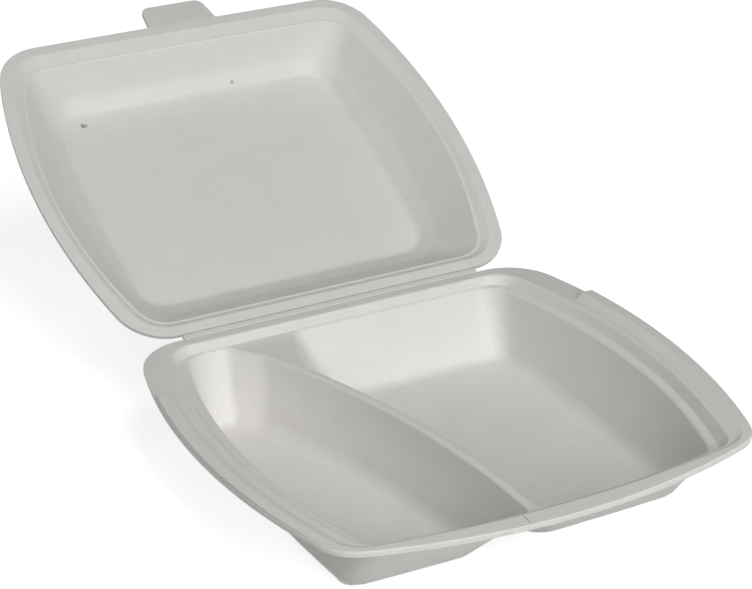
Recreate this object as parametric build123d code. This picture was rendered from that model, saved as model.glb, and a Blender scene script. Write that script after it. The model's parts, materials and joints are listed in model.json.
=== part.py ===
from build123d import *

import os
from dataclasses import dataclass, replace
from math import atan2, cos, degrees, radians, sin, tan

# Hinged two-compartment meal box of white foam, in millimetres, +Z up.
# The box stands on z = 0 with its lid laid back. X runs along the hinge, +Y points at the hinge.
# The pieces are drawn about the middle of the tray and then moved, so that the origin lies on the
# standing surface, under the middle of the whole box.

# Tray: size of the rim and depth of the bowl
tray_width = 240.0
tray_corner_depth = 201.5
tray_height = 40.0
tray_wall = 3.0
tray_side_bow = 17.0
apron_bow = 17.5
back_corner_radius = 27.7
front_corner_radius = 23.0

# Tray rim: a flat brim that rises from the flange on the sides and the front, then a step and a ledge.
# The brim is highest at its two ends by the hinge and falls evenly towards the front.
rim_sheet = 1.8
brim_start = 49.0
brim_height_back = 2.9
brim_height_front = 0.6
brim_edge_inset = 0.4
brim_width_side = 5.4
brim_width_front = 0.3
brim_inner_bow = 9.2
brim_foot_from_side = 8.0
brim_foot_from_front = 1.8
inner_side_bow = 15.5
inner_back_radius = 14.5
inner_front_radius = 10.0
flange_width_back = 6.3
flange_width_side = 4.4
flange_width_front = 0.6
step_depth = 4.5
step_run_back = 1.2
step_run_side = 3.4
step_run_front = 2.6
ledge_width_back = 1.1
ledge_width_side = 4.3
ledge_width_front = 1.2
step_round = 1.4

# Compartments: floor edges measured from the hinge, from the front corners and from the side corners
floor_from_hinge = 24.5
floor_from_front = 32.0
floor_from_side_back = 21.2
floor_from_side_front = 18.5
floor_bow = 0.8
floor_front_bow = 0.8
floor_corner_radius = 9.0
floor_edge_radius = 7.0

# Divider: a bowed ridge that widens into a landing at the back wall, and spreads down to the floors.
# Its places along X are measured from the left end of the hinge edge.
ridge_back_from_left = 62.0
ridge_back_from_hinge = 42.0
ridge_front_from_left = 92.5
ridge_bow = 7.8
ridge_width = 4.4
ridge_round = 1.6
landing_left_from_left = 40.5
landing_left_depth = 25.0
landing_left_bend_radius = 20.0
landing_right_from_left = 75.5
landing_right_bend_radius = 12.0
landing_corner_radius = 6.0
divider_spread_left = 9.5
divider_spread_right = 16.0
divider_front_radius_left = 6.0
divider_front_radius_right = 10.0
divider_foot_radius_left = 7.0
divider_foot_radius_right = 14.0

# The short slit in the front brim, at the left end of the place for the tab
slit_x = -22.0
slit_width = 0.6
slit_length = 6.0

# Hinge: one strip between two creases, which turn about the upper face of the foam
strip_width = 3.8
strip_end_margin = 1.0
strip_edge_round = 0.6
crease_gap = 0.12

# Lid: rim, shallow step, wall, bevel and flat panel
lid_lean = 25.2
lid_from_tray_side = 3.9
lid_from_tray_front = 2.9
lid_front_bow = 0.4
lid_corner_radius = 25.6
lid_height = 28.0
lid_wall = 1.7
lid_flange_width = 5.6
lid_step_depth = 2.4
lid_step_run = 3.4
lid_step_run_front = 7.0
lid_ledge_width = 1.2
lid_bevel_depth = 7.0
lid_bevel_from_hinge = 27.0
lid_bevel_from_front = 21.5
lid_bevel_from_side = 18.0
lid_bevel_bow = 8.5
lid_bevel_radius = 20.0
lid_panel_from_hinge = 37.5
lid_panel_from_front = 28.5
lid_panel_from_side = 22.0
lid_panel_bow = 3.0
lid_panel_radius = 13.0
lid_panel_edge_radius = 6.0
lid_bevel_edge_radius = 12.0
lid_ledge_round = 1.0

# Tab on the middle of the lid's front edge
tab_middle_x = 3.7
tab_root_width = 39.0
tab_end_width = 34.0
tab_length = 17.0
tab_corner_radius = 5.0
tab_rise = 8.0

# Shares of a wall's thickness by which its outer side is drawn out, for a steep and a gentle slope
steep_wall_share = 0.6
gentle_wall_share = 0.35

# Share of the divider's spread by which the landing's left corner moves outwards on the way down
landing_spread_share = 0.35

# How far each cutting body runs past what it cuts, and how close counts as touching
overrun = 5.0
touch_tolerance = 0.02

# Places that follow from the sizes above
hinge_y = tray_corner_depth / 2
front_y = -hinge_y
left_x = tray_side_bow - tray_width / 2
ridge_back_y = hinge_y - ridge_back_from_hinge
rim_z = tray_height
crease_z = rim_z - rim_sheet
step_z = rim_z - step_depth
crease_fold = lid_lean / 2
brim_start_y = hinge_y - brim_start
brim_top_z = rim_z + brim_height_back
brim_run = brim_start_y - front_y + apron_bow
brim_tilt = degrees(atan2(brim_height_back - brim_height_front, brim_run))


@dataclass
class Outline:
    """Plan of a rim or a floor: a straight back, bowed sides and a bowed front."""

    back: float
    front: float
    half_back: float
    half_front: float
    side_bow: float
    front_bow: float
    back_radius: float
    front_radius: float

    def middle_x(self):
        return (self.half_back + self.half_front) / 2 + self.side_bow

    def face(self, z):
        """The plan as a face at height z, with its four corners rounded."""
        middle_x, middle_y = self.middle_x(), (self.back + self.front) / 2
        back_right, back_left = (self.half_back, self.back, z), (-self.half_back, self.back, z)
        front_right, front_left = (self.half_front, self.front, z), (-self.half_front, self.front, z)
        plain = make_face([
            Line(back_left, back_right),
            ThreePointArc(back_right, (middle_x, middle_y, z), front_right),
            ThreePointArc(front_right, (0, self.front - self.front_bow, z), front_left),
            ThreePointArc(front_left, (-middle_x, middle_y, z), back_left),
        ])
        back_rounded = fillet(plain.vertices().sort_by(Axis.Y)[2:], self.back_radius)
        return fillet(back_rounded.vertices().sort_by(Axis.Y)[:2], self.front_radius)

    def front_at(self, x):
        """The y of the bowed front edge at a given x."""
        return self.front - self.front_bow * (1 - (x / self.half_front) ** 2)

    def straight_back(self):
        """Half the length of the straight part of the back edge, between its rounded corners."""
        right_side = self.face(0).edges().filter_by(GeomType.LINE)
        return max(edge.length for edge in right_side) / 2

    def drawn_in(self, back, side, front, **changes):
        """The same plan drawn in by the given amounts, with its corner radii drawn in as well."""
        sizes = dict(
            back=self.back - back,
            front=self.front + front,
            half_back=self.half_back - side,
            half_front=self.half_front - side,
            back_radius=self.back_radius - side,
            front_radius=self.front_radius - side,
        )
        sizes.update(changes)
        return replace(self, **sizes)

    def drawn_out(self, amount):
        return self.drawn_in(-amount, -amount, -amount)

    def moved(self, distance):
        """The same plan moved along Y."""
        return replace(self, back=self.back + distance, front=self.front + distance)


def rounded_plan(edges, corners, z):
    """A closed plan at height z with each listed corner, given as (x, y, radius), rounded."""
    plan = make_face(edges)
    for x, y, radius in corners:
        nearest = plan.vertices().sort_by_distance((x, y, z))[0]
        plan = fillet(nearest, radius)
    return plan


def funnel(*plans):
    """A solid with straight walls between plans that lie one below the other."""
    sections = [plan.faces()[0] for plan in plans]
    return Solid.make_loft([section.outer_wire() for section in sections], ruled=True)


def bottom_rounded(solid, radius):
    return fillet(solid.faces().sort_by(Axis.Z)[0].edges(), radius)


def along(body, plan):
    """The edges of a body that follow the outline of a plan."""
    outline = plan.faces()[0].outer_wire()
    return [edge for edge in body.edges() if outline.distance_to(edge @ 0.5) < touch_tolerance]


def top_rounded(solid, radius):
    return fillet(solid.faces().sort_by(Axis.Z)[-1].edges(), radius)


# Plans of the tray, from the rim inwards and down
tray_rim = Outline(
    back=hinge_y,
    front=front_y,
    half_back=-left_x,
    half_front=-left_x,
    side_bow=tray_side_bow,
    front_bow=apron_bow,
    back_radius=back_corner_radius,
    front_radius=front_corner_radius,
)
brim_outer = tray_rim.drawn_in(brim_edge_inset, brim_edge_inset, brim_edge_inset)
brim_inner = tray_rim.drawn_in(
    brim_width_side, brim_width_side, brim_width_front, front_bow=brim_inner_bow
)
brim_foot = tray_rim.drawn_in(
    0, brim_foot_from_side, brim_foot_from_front, side_bow=inner_side_bow, front_bow=brim_inner_bow
)
step_top = brim_foot.drawn_in(
    flange_width_back,
    flange_width_side,
    flange_width_front,
    back_radius=inner_back_radius,
    front_radius=inner_front_radius,
)
step_foot = step_top.drawn_in(
    step_run_back,
    step_run_side,
    step_run_front,
    back_radius=inner_back_radius,
    front_radius=inner_front_radius,
)
bowl_top = step_foot.drawn_in(
    ledge_width_back,
    ledge_width_side,
    ledge_width_front,
    back_radius=inner_back_radius,
    front_radius=inner_front_radius,
)
bowl_floor = tray_rim.drawn_in(
    floor_from_hinge,
    floor_from_side_back,
    floor_from_front,
    half_front=tray_rim.half_front - floor_from_side_front,
    side_bow=floor_bow,
    front_bow=floor_front_bow,
    back_radius=floor_corner_radius,
    front_radius=floor_corner_radius,
)


# Plans of the lid as it lies when closed, measured from the crease at its back edge
lid_rim = tray_rim.moved(-hinge_y).drawn_in(
    0,
    lid_from_tray_side,
    lid_from_tray_front,
    front_bow=lid_front_bow,
    back_radius=lid_corner_radius,
    front_radius=lid_corner_radius,
)
lid_step_top = lid_rim.drawn_in(lid_flange_width, lid_flange_width, lid_flange_width)
lid_step_foot = lid_step_top.drawn_in(lid_step_run, lid_step_run, lid_step_run_front)
lid_wall_top = lid_step_foot.drawn_in(lid_ledge_width, lid_ledge_width, lid_ledge_width)
lid_bevel = lid_rim.drawn_in(
    lid_bevel_from_hinge,
    lid_bevel_from_side,
    lid_bevel_from_front,
    side_bow=lid_bevel_bow,
    back_radius=lid_bevel_radius,
    front_radius=lid_bevel_radius,
)
lid_panel = lid_rim.drawn_in(
    lid_panel_from_hinge,
    lid_panel_from_side,
    lid_panel_from_front,
    side_bow=lid_panel_bow,
    back_radius=lid_panel_radius,
    front_radius=lid_panel_radius,
)


def ridge_x(y, offset):
    """The divider's bowed middle line: x at a given y, moved sideways by an offset."""
    share = (ridge_back_y - y) / (ridge_back_y - bowl_top.front)
    straight = left_x + ridge_back_from_left + (ridge_front_from_left - ridge_back_from_left) * share
    return straight + 4 * ridge_bow * share * (1 - share) + offset


def compartment(side, outline, spread, front_radius, grown, z):
    """One compartment's plan at height z, grown outwards: side is -1 for the left one, 1 for the right."""
    offset = side * (ridge_width / 2 + spread)
    side_back, side_front = side * outline.half_back, side * outline.half_front
    if side < 0:
        landing_x = left_x + landing_left_from_left - spread * landing_spread_share
        bend_y = hinge_y - landing_left_depth - spread
        bend_radius = landing_left_bend_radius
    else:
        landing_x = left_x + landing_right_from_left + spread
        bend_y = ridge_back_y
        bend_radius = landing_right_bend_radius
    end_y = outline.front - outline.front_bow
    middle_y = (bend_y + end_y) / 2
    bend_x, end_x = ridge_x(bend_y, offset), ridge_x(end_y, offset)
    front_x = (end_x + side_front) / 2
    edges = [
        Line((side_back, outline.back, z), (landing_x, outline.back, z)),
        Line((landing_x, outline.back, z), (bend_x, bend_y, z)),
        ThreePointArc(
            (bend_x, bend_y, z), (ridge_x(middle_y, offset), middle_y, z), (end_x, end_y, z)
        ),
        ThreePointArc(
            (end_x, end_y, z), (front_x, outline.front_at(front_x), z), (side_front, outline.front, z)
        ),
        ThreePointArc(
            (side_front, outline.front, z),
            (side * outline.middle_x(), (outline.back + outline.front) / 2, z),
            (side_back, outline.back, z),
        ),
    ]
    corners = [
        (landing_x, outline.back, landing_corner_radius + grown),
        (bend_x, bend_y, bend_radius),
        (end_x, end_y, front_radius + grown),
        (side_front, outline.front, outline.front_radius),
        (side_back, outline.back, outline.back_radius),
    ]
    return rounded_plan(edges, corners, z)


def bowl_mouth(side, grown, z):
    """The plan of a compartment at its top, grown outwards by a share of a wall."""
    front_radius = divider_front_radius_left if side < 0 else divider_front_radius_right
    return compartment(side, bowl_top.drawn_out(grown), -grown, front_radius, grown, z)


def tray_bowl(side, wall):
    """The space inside one compartment, or with a wall's thickness, its outer form."""
    grown = wall * steep_wall_share
    spread = divider_spread_left if side < 0 else divider_spread_right
    foot_radius = divider_foot_radius_left if side < 0 else divider_foot_radius_right
    floor_outline = bowl_floor.drawn_out(grown)
    floor = compartment(side, floor_outline, spread - grown, foot_radius, grown, tray_wall - wall)
    return bottom_rounded(funnel(bowl_mouth(side, grown, step_z), floor), floor_edge_radius + grown)


def front_slab(start_y, bottom, top):
    """A block in front of start_y, between two heights, wider than the tray."""
    place = Pos(0, start_y, bottom)
    size = (2 * tray_width, 2 * tray_corner_depth, top - bottom)
    return place * Box(*size, align=(Align.CENTER, Align.MAX, Align.MIN))


def brim_top(plan):
    """A plan of the brim on its slightly sloping top."""
    return Pos(0, brim_start_y, brim_top_z) * Rot(brim_tilt, 0, 0) * Pos(0, -brim_start_y, 0) * plan.face(0)


def raised_brim():
    """The brim that stands round the sides and the front of the rim."""
    outer = funnel(tray_rim.face(crease_z), brim_top(brim_outer))
    inner = funnel(brim_foot.face(rim_z), brim_top(brim_inner))
    ring = outer - inner - extrude(brim_foot.face(crease_z), rim_sheet)
    return ring & front_slab(brim_start_y, crease_z, brim_top_z + overrun)


def brim_slit():
    """The short slit that runs into the front brim from its inner edge."""
    start_y = brim_inner.front_at(slit_x)
    size = (slit_width, slit_length, brim_height_back + rim_sheet + overrun)
    return Pos(slit_x, start_y, rim_z) * Box(*size, align=(Align.CENTER, Align.MAX, Align.MIN))


def base_tray():
    """The tray: rim, step, ledge, two bowls and the divider between them, hollow underneath."""
    flange = extrude(tray_rim.face(crease_z), rim_sheet)
    grown = tray_wall * steep_wall_share
    step_outer = funnel(
        step_top.drawn_out(grown).face(crease_z), step_foot.drawn_out(grown).face(step_z - tray_wall)
    )
    step_inner = funnel(step_top.face(rim_z), step_foot.face(step_z))
    body = flange + step_outer - step_inner
    for side in (-1, 1):
        body += tray_bowl(side, tray_wall)
    for side in (-1, 1):
        body -= tray_bowl(side, 0)
    for side in (-1, 1):
        body = fillet(along(body, bowl_mouth(side, 0, step_z)), ridge_round)
    body = fillet(along(body, step_top.face(rim_z)), step_round)
    body += raised_brim()
    return body - brim_slit() - crease_cut(hinge_y, rim_z)


def crease_cut(y, z):
    """The narrow gap that a crease takes from a sheet whose back edge is at y, near height z."""
    size = (2 * lid_rim.straight_back(), overrun + crease_gap, 2 * overrun)
    return Pos(0, y - crease_gap, z) * Box(*size, align=(Align.CENTER, Align.MIN, Align.CENTER))


def hinge_strip():
    """The strip between the two creases, as it lies with the lid laid back."""
    half_length = lid_rim.straight_back() - strip_end_margin
    size = (2 * half_length, strip_width - 2 * crease_gap, rim_sheet)
    flat = Pos(0, crease_gap, 0) * Box(*size, align=(Align.CENTER, Align.MIN, Align.MAX))
    bead = fillet(flat.faces().sort_by(Axis.Z)[-1].edges().filter_by(Axis.X), strip_edge_round)
    return Pos(0, hinge_y, rim_z) * Rot(crease_fold, 0, 0) * bead


def lid_shell():
    """The closed lid: rim, step, ledge, wall, bevel and panel."""
    grown = lid_wall * steep_wall_share
    ledge_z = lid_step_depth
    panel_z = lid_height - lid_wall
    bevel_z = panel_z - lid_bevel_depth
    shell = extrude(lid_rim.face(0), rim_sheet)
    shell += funnel(
        lid_step_top.drawn_out(grown).face(rim_sheet), lid_step_foot.drawn_out(grown).face(ledge_z + lid_wall)
    )
    outer = funnel(
        lid_wall_top.drawn_out(grown).face(ledge_z),
        lid_bevel.drawn_out(grown).face(bevel_z + grown),
        lid_panel.drawn_out(lid_wall * gentle_wall_share).face(lid_height),
    )
    inner = funnel(lid_wall_top.face(ledge_z), lid_bevel.face(bevel_z), lid_panel.face(panel_z))
    inner = top_rounded(inner, lid_panel_edge_radius)
    shell += top_rounded(outer, lid_panel_edge_radius + grown)
    shell -= funnel(lid_step_top.face(0), lid_step_foot.face(ledge_z))
    shell -= fillet(along(inner, lid_bevel.face(bevel_z)), lid_bevel_edge_radius)
    shell = fillet(along(shell, lid_wall_top.face(ledge_z)), lid_ledge_round)
    return fillet(along(shell, lid_step_top.face(0)), lid_ledge_round)


def lid_tab():
    """The tab on the lid's front edge, bent up a little from the rim."""
    root_y = lid_rim.front - lid_rim.front_bow
    rise = radians(tab_rise)
    tip_y, tip_z = root_y - tab_length * cos(rise), tab_length * sin(rise)
    profile = Polyline(
        (root_y + rim_sheet, 0),
        (root_y, 0),
        (tip_y, tip_z),
        (tip_y + rim_sheet * sin(rise), tip_z + rim_sheet * cos(rise)),
        (root_y + rim_sheet * tan(rise / 2), rim_sheet),
        (root_y + rim_sheet, rim_sheet),
        close=True,
    )
    bent = extrude(make_face(Plane.YZ * profile), tab_root_width, both=True)
    plan = make_face(
        Polyline(
            (-tab_root_width / 2, root_y + rim_sheet),
            (tab_root_width / 2, root_y + rim_sheet),
            (tab_end_width / 2, tip_y),
            (-tab_end_width / 2, tip_y),
            close=True,
        )
    )
    plan = fillet(plan.vertices().sort_by(Axis.Y)[:2], tab_corner_radius)
    return Pos(tab_middle_x, 0, 0) * (bent & extrude(plan, tab_length))


def lid():
    """The lid with its tab, laid back from the second crease."""
    closed = lid_shell() + lid_tab() - crease_cut(0, 0)
    fold = radians(crease_fold)
    second_crease = (0, hinge_y + strip_width * cos(fold), rim_z + strip_width * sin(fold))
    return Pos(*second_crease) * Rot(lid_lean - 180, 0, 0) * closed


def pieces():
    """Every piece by name, moved so that the origin is at the bottom centre of the whole box."""
    built = {"base_tray": base_tray(), "hinge_strip": hinge_strip(), "lid": lid()}
    bounds = Compound(list(built.values())).bounding_box()
    place = Pos(-bounds.center().X, -bounds.center().Y, -bounds.min.Z)
    return {name: place * piece for name, piece in built.items()}


os.makedirs("parts", exist_ok=True)
for name, piece in pieces().items():
    export_step(piece, f"parts/{name}.step")
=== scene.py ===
import json
from math import cos, radians, sin

import bpy
from mathutils import Matrix, Vector

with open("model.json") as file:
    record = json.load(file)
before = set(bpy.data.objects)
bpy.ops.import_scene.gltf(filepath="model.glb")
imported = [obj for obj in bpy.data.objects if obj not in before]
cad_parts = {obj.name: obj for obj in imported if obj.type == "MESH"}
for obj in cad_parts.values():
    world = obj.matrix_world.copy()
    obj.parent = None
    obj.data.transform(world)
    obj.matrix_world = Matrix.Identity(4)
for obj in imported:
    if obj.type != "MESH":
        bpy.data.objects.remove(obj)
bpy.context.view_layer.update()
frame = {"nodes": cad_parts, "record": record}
MM = 0.001

# Camera, matched to the rims in the photograph. The target is in millimetres from the middle of the hinge edge.
PHOTO_WIDTH = 752
AZIMUTH, ELEVATION, ROLL = -28.215, 26.103, 0.194
DISTANCE, FOCAL_PIXELS = 1102.55, 2378.98
TARGET = (-2.58, -45.98, 25.86)
SENSOR_WIDTH = 36
CLIP_NEAR, CLIP_FAR = 0.05, 20

# Foam: its colour, its shine and how far light spreads in it, in metres
BASE_COLOUR = (0.80, 0.785, 0.755)
ROUGHNESS = 0.42
SPECULAR = 0.5
SPREAD_WEIGHT = 0.15
SPREAD_RADIUS = (1.0, 0.98, 0.93)
SPREAD_SCALE = 0.004

# The foam's textures, as scale, detail and roughness, and the edge of the closed cells
CELL_SCALE = 900.0
CELL_SMOOTHNESS = 0.6
CELL_EDGES = (0.15, 0.75)
FINE_NOISE = (1200.0, 3.0, 0.6)
MOTTLE_NOISE = (60.0, 3.0, 0.55)
WAVE_NOISE = (45.0, 2.0, 0.5)
DRAWN_NOISE = (420.0, 2.0, 0.6)
DRAWN_STRETCH = (1.0, 1.0, 0.12)

# How much each texture lightens or darkens the colour
MOTTLE_RANGE = (0.3, 0.7)
MOTTLE_SHADE = (-0.010, 0.010)
CELL_SHADE = (0.006, -0.012)

# The bump of the skin: the share of each fine texture, then strength and depth in metres of both layers
CELL_SHARE, FINE_SHARE, DRAWN_SHARE = -0.35, 0.25, 0.35
FINE_BUMP = (0.7, 0.0002)
WAVE_BUMP = (0.5, 0.0005)

# Specks inside the lid: place and size in metres, the squeeze of each axis, and the colour
LID_SPECKS = (
    ((-0.0620, 0.1715, 0.0865), 0.0011, (0.8, 0.8, 0.8), (0.55, 0.50, 0.44)),
    ((-0.0633, 0.1717, 0.0865), 0.0013, (0.85, 0.7, 0.7), (0.34, 0.32, 0.29)),
    ((0.0255, 0.1793, 0.0926), 0.0011, (1.0, 1.0, 0.8), (0.42, 0.41, 0.38)),
)
SPECK_RAGGED_SHARE = 1.2
SPECK_CORE_SHARE = 0.55

# Floor and surroundings. The floor glows for the camera alone, so it shows white but lights nothing.
WHITE = (1.0, 1.0, 1.0, 1.0)
FLOOR_REACH = 6.0
FLOOR_SEEN = (0.86, 0.86, 0.86, 1.0)
FLOOR_BOUNCE = (0.5, 0.5, 0.5, 1.0)
FLOOR_GLOW = 0.74
WORLD_LEVEL = 0.02

# Soft lamps: the direction each stands in (azimuth from the front, positive to the right, and elevation),
# its distance and size in metres, and its strength in watts
LAMPS = {
    "front": (10, 27, 2.0, 1.3, 14.4),
    "front_left": (-20, 27, 2.0, 1.3, 5.0),
    "front_high": (8, 55, 2.0, 1.3, 13.0),
    "left": (-70, 30, 2.0, 1.3, 4.8),
    "behind": (180, 42, 2.0, 1.3, 3.5),
}
LAMPS_AIM = (0, 0, 0.05)

joints = {joint["name"]: joint for joint in frame["record"]["behaviour"]["joints"]}
hinge_edge = Vector(joints["tray_crease"]["pos_m"]) / MM


def direction(azimuth, elevation):
    """The direction from the object to a place, both angles in degrees."""
    az, el = radians(azimuth), radians(elevation)
    return Vector((sin(az) * cos(el), -cos(az) * cos(el), sin(el)))


def make_camera():
    back = direction(AZIMUTH, ELEVATION)
    right = Vector((cos(radians(AZIMUTH)), sin(radians(AZIMUTH)), 0))
    up = back.cross(right)
    roll = radians(ROLL)
    right, up = right * cos(roll) + up * sin(roll), up * cos(roll) - right * sin(roll)
    place = (Vector(TARGET) + hinge_edge + back * DISTANCE) * MM
    data = bpy.data.cameras.new("camera")
    data.sensor_fit = "HORIZONTAL"
    data.sensor_width = SENSOR_WIDTH
    data.lens = FOCAL_PIXELS / PHOTO_WIDTH * data.sensor_width
    data.clip_start, data.clip_end = CLIP_NEAR, CLIP_FAR
    camera = bpy.data.objects.new("camera", data)
    bpy.context.scene.collection.objects.link(camera)
    axes = Matrix((right, up, back)).transposed().to_4x4()
    camera.matrix_world = Matrix.Translation(place) @ axes
    bpy.context.scene.camera = camera


class Nodes:
    """A node tree, built by short calls."""

    def __init__(self, tree):
        self.tree = tree
        self.tree.nodes.clear()

    def add(self, kind, links=None, **settings):
        node = self.tree.nodes.new(kind)
        for key, value in settings.items():
            setattr(node, key, value)
        for socket, value in (links or {}).items():
            target = node.inputs[socket]
            if isinstance(value, bpy.types.NodeSocket):
                self.tree.links.new(value, target)
            else:
                target.default_value = value
        return node

    def math(self, operation, a, b):
        return self.add("ShaderNodeMath", {0: a, 1: b}, operation=operation).outputs[0]

    def vector(self, operation, a, b):
        return self.add("ShaderNodeVectorMath", {0: a, 1: b}, operation=operation).outputs[0]

    def ramp(self, value, low, high, out_low=0.0, out_high=1.0):
        node = self.add("ShaderNodeMapRange", {0: value, 1: low, 2: high, 3: out_low, 4: out_high})
        node.interpolation_type = "SMOOTHSTEP"
        return node.outputs[0]

    def noise(self, place, scale, detail, roughness, stretch=(1.0, 1.0, 1.0)):
        mapped = self.add("ShaderNodeMapping", {"Vector": place, "Scale": stretch}).outputs[0]
        links = {"Vector": mapped, "Scale": scale, "Detail": detail, "Roughness": roughness}
        return self.add("ShaderNodeTexNoise", links).outputs[0]

    def bump(self, strength, distance, height, **links):
        links.update(Strength=strength, Distance=distance, Height=height)
        return self.add("ShaderNodeBump", links).outputs[0]


def new_material(name):
    material = bpy.data.materials.new(name)
    material.use_nodes = True
    return material, Nodes(material.node_tree)


def speck_mask(n, place, fine, at, size, squeeze):
    """A soft ragged spot about a place."""
    away = n.vector("MULTIPLY", n.vector("SUBTRACT", place, at), squeeze)
    far = n.add("ShaderNodeVectorMath", {0: away}, operation="LENGTH").outputs["Value"]
    edge = n.math("MULTIPLY", n.math("SUBTRACT", fine, 0.5), size * SPECK_RAGGED_SHARE)
    return n.ramp(n.math("ADD", far, edge), size, size * SPECK_CORE_SHARE)


def foam(name, specks=()):
    """White formed polystyrene foam: a faintly mottled skin with fine closed cells and soft waves."""
    material, n = new_material(name)
    place = n.add("ShaderNodeTexCoord").outputs["Object"]
    cell_links = {"Vector": place, "Scale": CELL_SCALE, "Randomness": 1.0}
    cells = n.add("ShaderNodeTexVoronoi", cell_links, feature="SMOOTH_F1")
    cells.inputs["Smoothness"].default_value = CELL_SMOOTHNESS
    grain = n.ramp(cells.outputs["Distance"], *CELL_EDGES)
    fine = n.noise(place, *FINE_NOISE)
    mottle = n.noise(place, *MOTTLE_NOISE)
    wave = n.noise(place, *WAVE_NOISE)
    drawn = n.noise(place, *DRAWN_NOISE, stretch=DRAWN_STRETCH)

    mottle_shade = n.ramp(mottle, *MOTTLE_RANGE, *MOTTLE_SHADE)
    shade = n.math("ADD", mottle_shade, n.ramp(grain, 0.0, 1.0, *CELL_SHADE))
    value = n.math("ADD", 1.0, shade)
    grey = n.add("ShaderNodeCombineColor", {0: value, 1: value, 2: value}).outputs[0]
    shaded = n.add("ShaderNodeMix", {"Factor": 1.0}, data_type="RGBA", blend_type="MULTIPLY")
    shaded.inputs["A"].default_value = (*BASE_COLOUR, 1.0)
    n.tree.links.new(grey, shaded.inputs["B"])
    colour = shaded.outputs["Result"]
    for at, size, squeeze, speck_colour in specks:
        mask = speck_mask(n, place, fine, at, size, squeeze)
        mixed = n.add("ShaderNodeMix", {"Factor": mask}, data_type="RGBA")
        n.tree.links.new(colour, mixed.inputs["A"])
        mixed.inputs["B"].default_value = (*speck_colour, 1.0)
        colour = mixed.outputs["Result"]

    height = n.math("ADD", n.math("MULTIPLY", grain, CELL_SHARE), n.math("MULTIPLY", fine, FINE_SHARE))
    height = n.math("ADD", height, n.math("MULTIPLY", drawn, DRAWN_SHARE))
    normal = n.bump(*WAVE_BUMP, wave, Normal=n.bump(*FINE_BUMP, height))
    skin = n.add("ShaderNodeBsdfPrincipled", {
        "Base Color": colour,
        "Normal": normal,
        "Roughness": ROUGHNESS,
        "Specular IOR Level": SPECULAR,
        "Subsurface Weight": SPREAD_WEIGHT,
        "Subsurface Radius": SPREAD_RADIUS,
        "Subsurface Scale": SPREAD_SCALE,
    })
    n.add("ShaderNodeOutputMaterial", {"Surface": skin.outputs[0]})
    return material


def floor_material():
    """A plain pale surface that shows white to the camera and still takes the object's soft shadow."""
    material, n = new_material("pale_floor")
    paths = n.add("ShaderNodeLightPath")
    seen = n.math("MAXIMUM", paths.outputs["Is Camera Ray"], paths.outputs["Is Glossy Ray"])
    seen = n.math("MAXIMUM", seen, paths.outputs["Is Transmission Ray"])
    matt = n.add("ShaderNodeBsdfDiffuse", {"Color": FLOOR_SEEN}).outputs[0]
    bounce = n.add("ShaderNodeBsdfDiffuse", {"Color": FLOOR_BOUNCE}).outputs[0]
    glow = n.add("ShaderNodeEmission", {"Color": WHITE, "Strength": FLOOR_GLOW}).outputs[0]
    both = n.add("ShaderNodeAddShader", {0: matt, 1: glow}).outputs[0]
    mixed = n.add("ShaderNodeMixShader", {0: seen, 1: bounce, 2: both}).outputs[0]
    n.add("ShaderNodeOutputMaterial", {"Surface": mixed})
    return material


def make_floor():
    far = FLOOR_REACH
    mesh = bpy.data.meshes.new("floor")
    mesh.from_pydata([(-far, -far, 0), (far, -far, 0), (far, far, 0), (-far, far, 0)], [], [(0, 1, 2, 3)])
    floor = bpy.data.objects.new("floor", mesh)
    floor.data.materials.append(floor_material())
    bpy.context.scene.collection.objects.link(floor)


def make_world():
    """White to the camera, and a weak even light to everything else."""
    world = bpy.data.worlds.new("studio")
    bpy.context.scene.world = world
    world.use_nodes = True
    n = Nodes(world.node_tree)
    soft = n.add("ShaderNodeBackground", {"Color": WHITE, "Strength": WORLD_LEVEL}).outputs[0]
    white = n.add("ShaderNodeBackground", {"Color": WHITE, "Strength": 1.0}).outputs[0]
    camera_ray = n.add("ShaderNodeLightPath").outputs["Is Camera Ray"]
    mixed = n.add("ShaderNodeMixShader", {0: camera_ray, 1: soft, 2: white}).outputs[0]
    n.add("ShaderNodeOutputWorld", {"Surface": mixed})


def make_lamps():
    for name, (azimuth, elevation, distance, size, watts) in LAMPS.items():
        out = direction(azimuth, elevation)
        data = bpy.data.lights.new(name, "AREA")
        data.shape = "DISK"
        data.size = size
        data.energy = watts
        lamp = bpy.data.objects.new(name, data)
        lamp.location = Vector(LAMPS_AIM) + out * distance
        lamp.rotation_mode = "QUATERNION"
        lamp.rotation_quaternion = out.to_track_quat("Z", "Y")
        bpy.context.scene.collection.objects.link(lamp)


def dress_frame():
    materials = {
        "base_tray": foam("tray_foam_skin"),
        "hinge_strip": foam("hinge_foam_skin"),
        "lid": foam("lid_foam_skin", LID_SPECKS),
    }
    for node, material in materials.items():
        mesh = frame["nodes"][node].data
        mesh.materials.clear()
        mesh.materials.append(material)


bpy.context.scene.view_settings.view_transform = "Standard"
make_camera()
make_floor()
make_world()
make_lamps()
dress_frame()
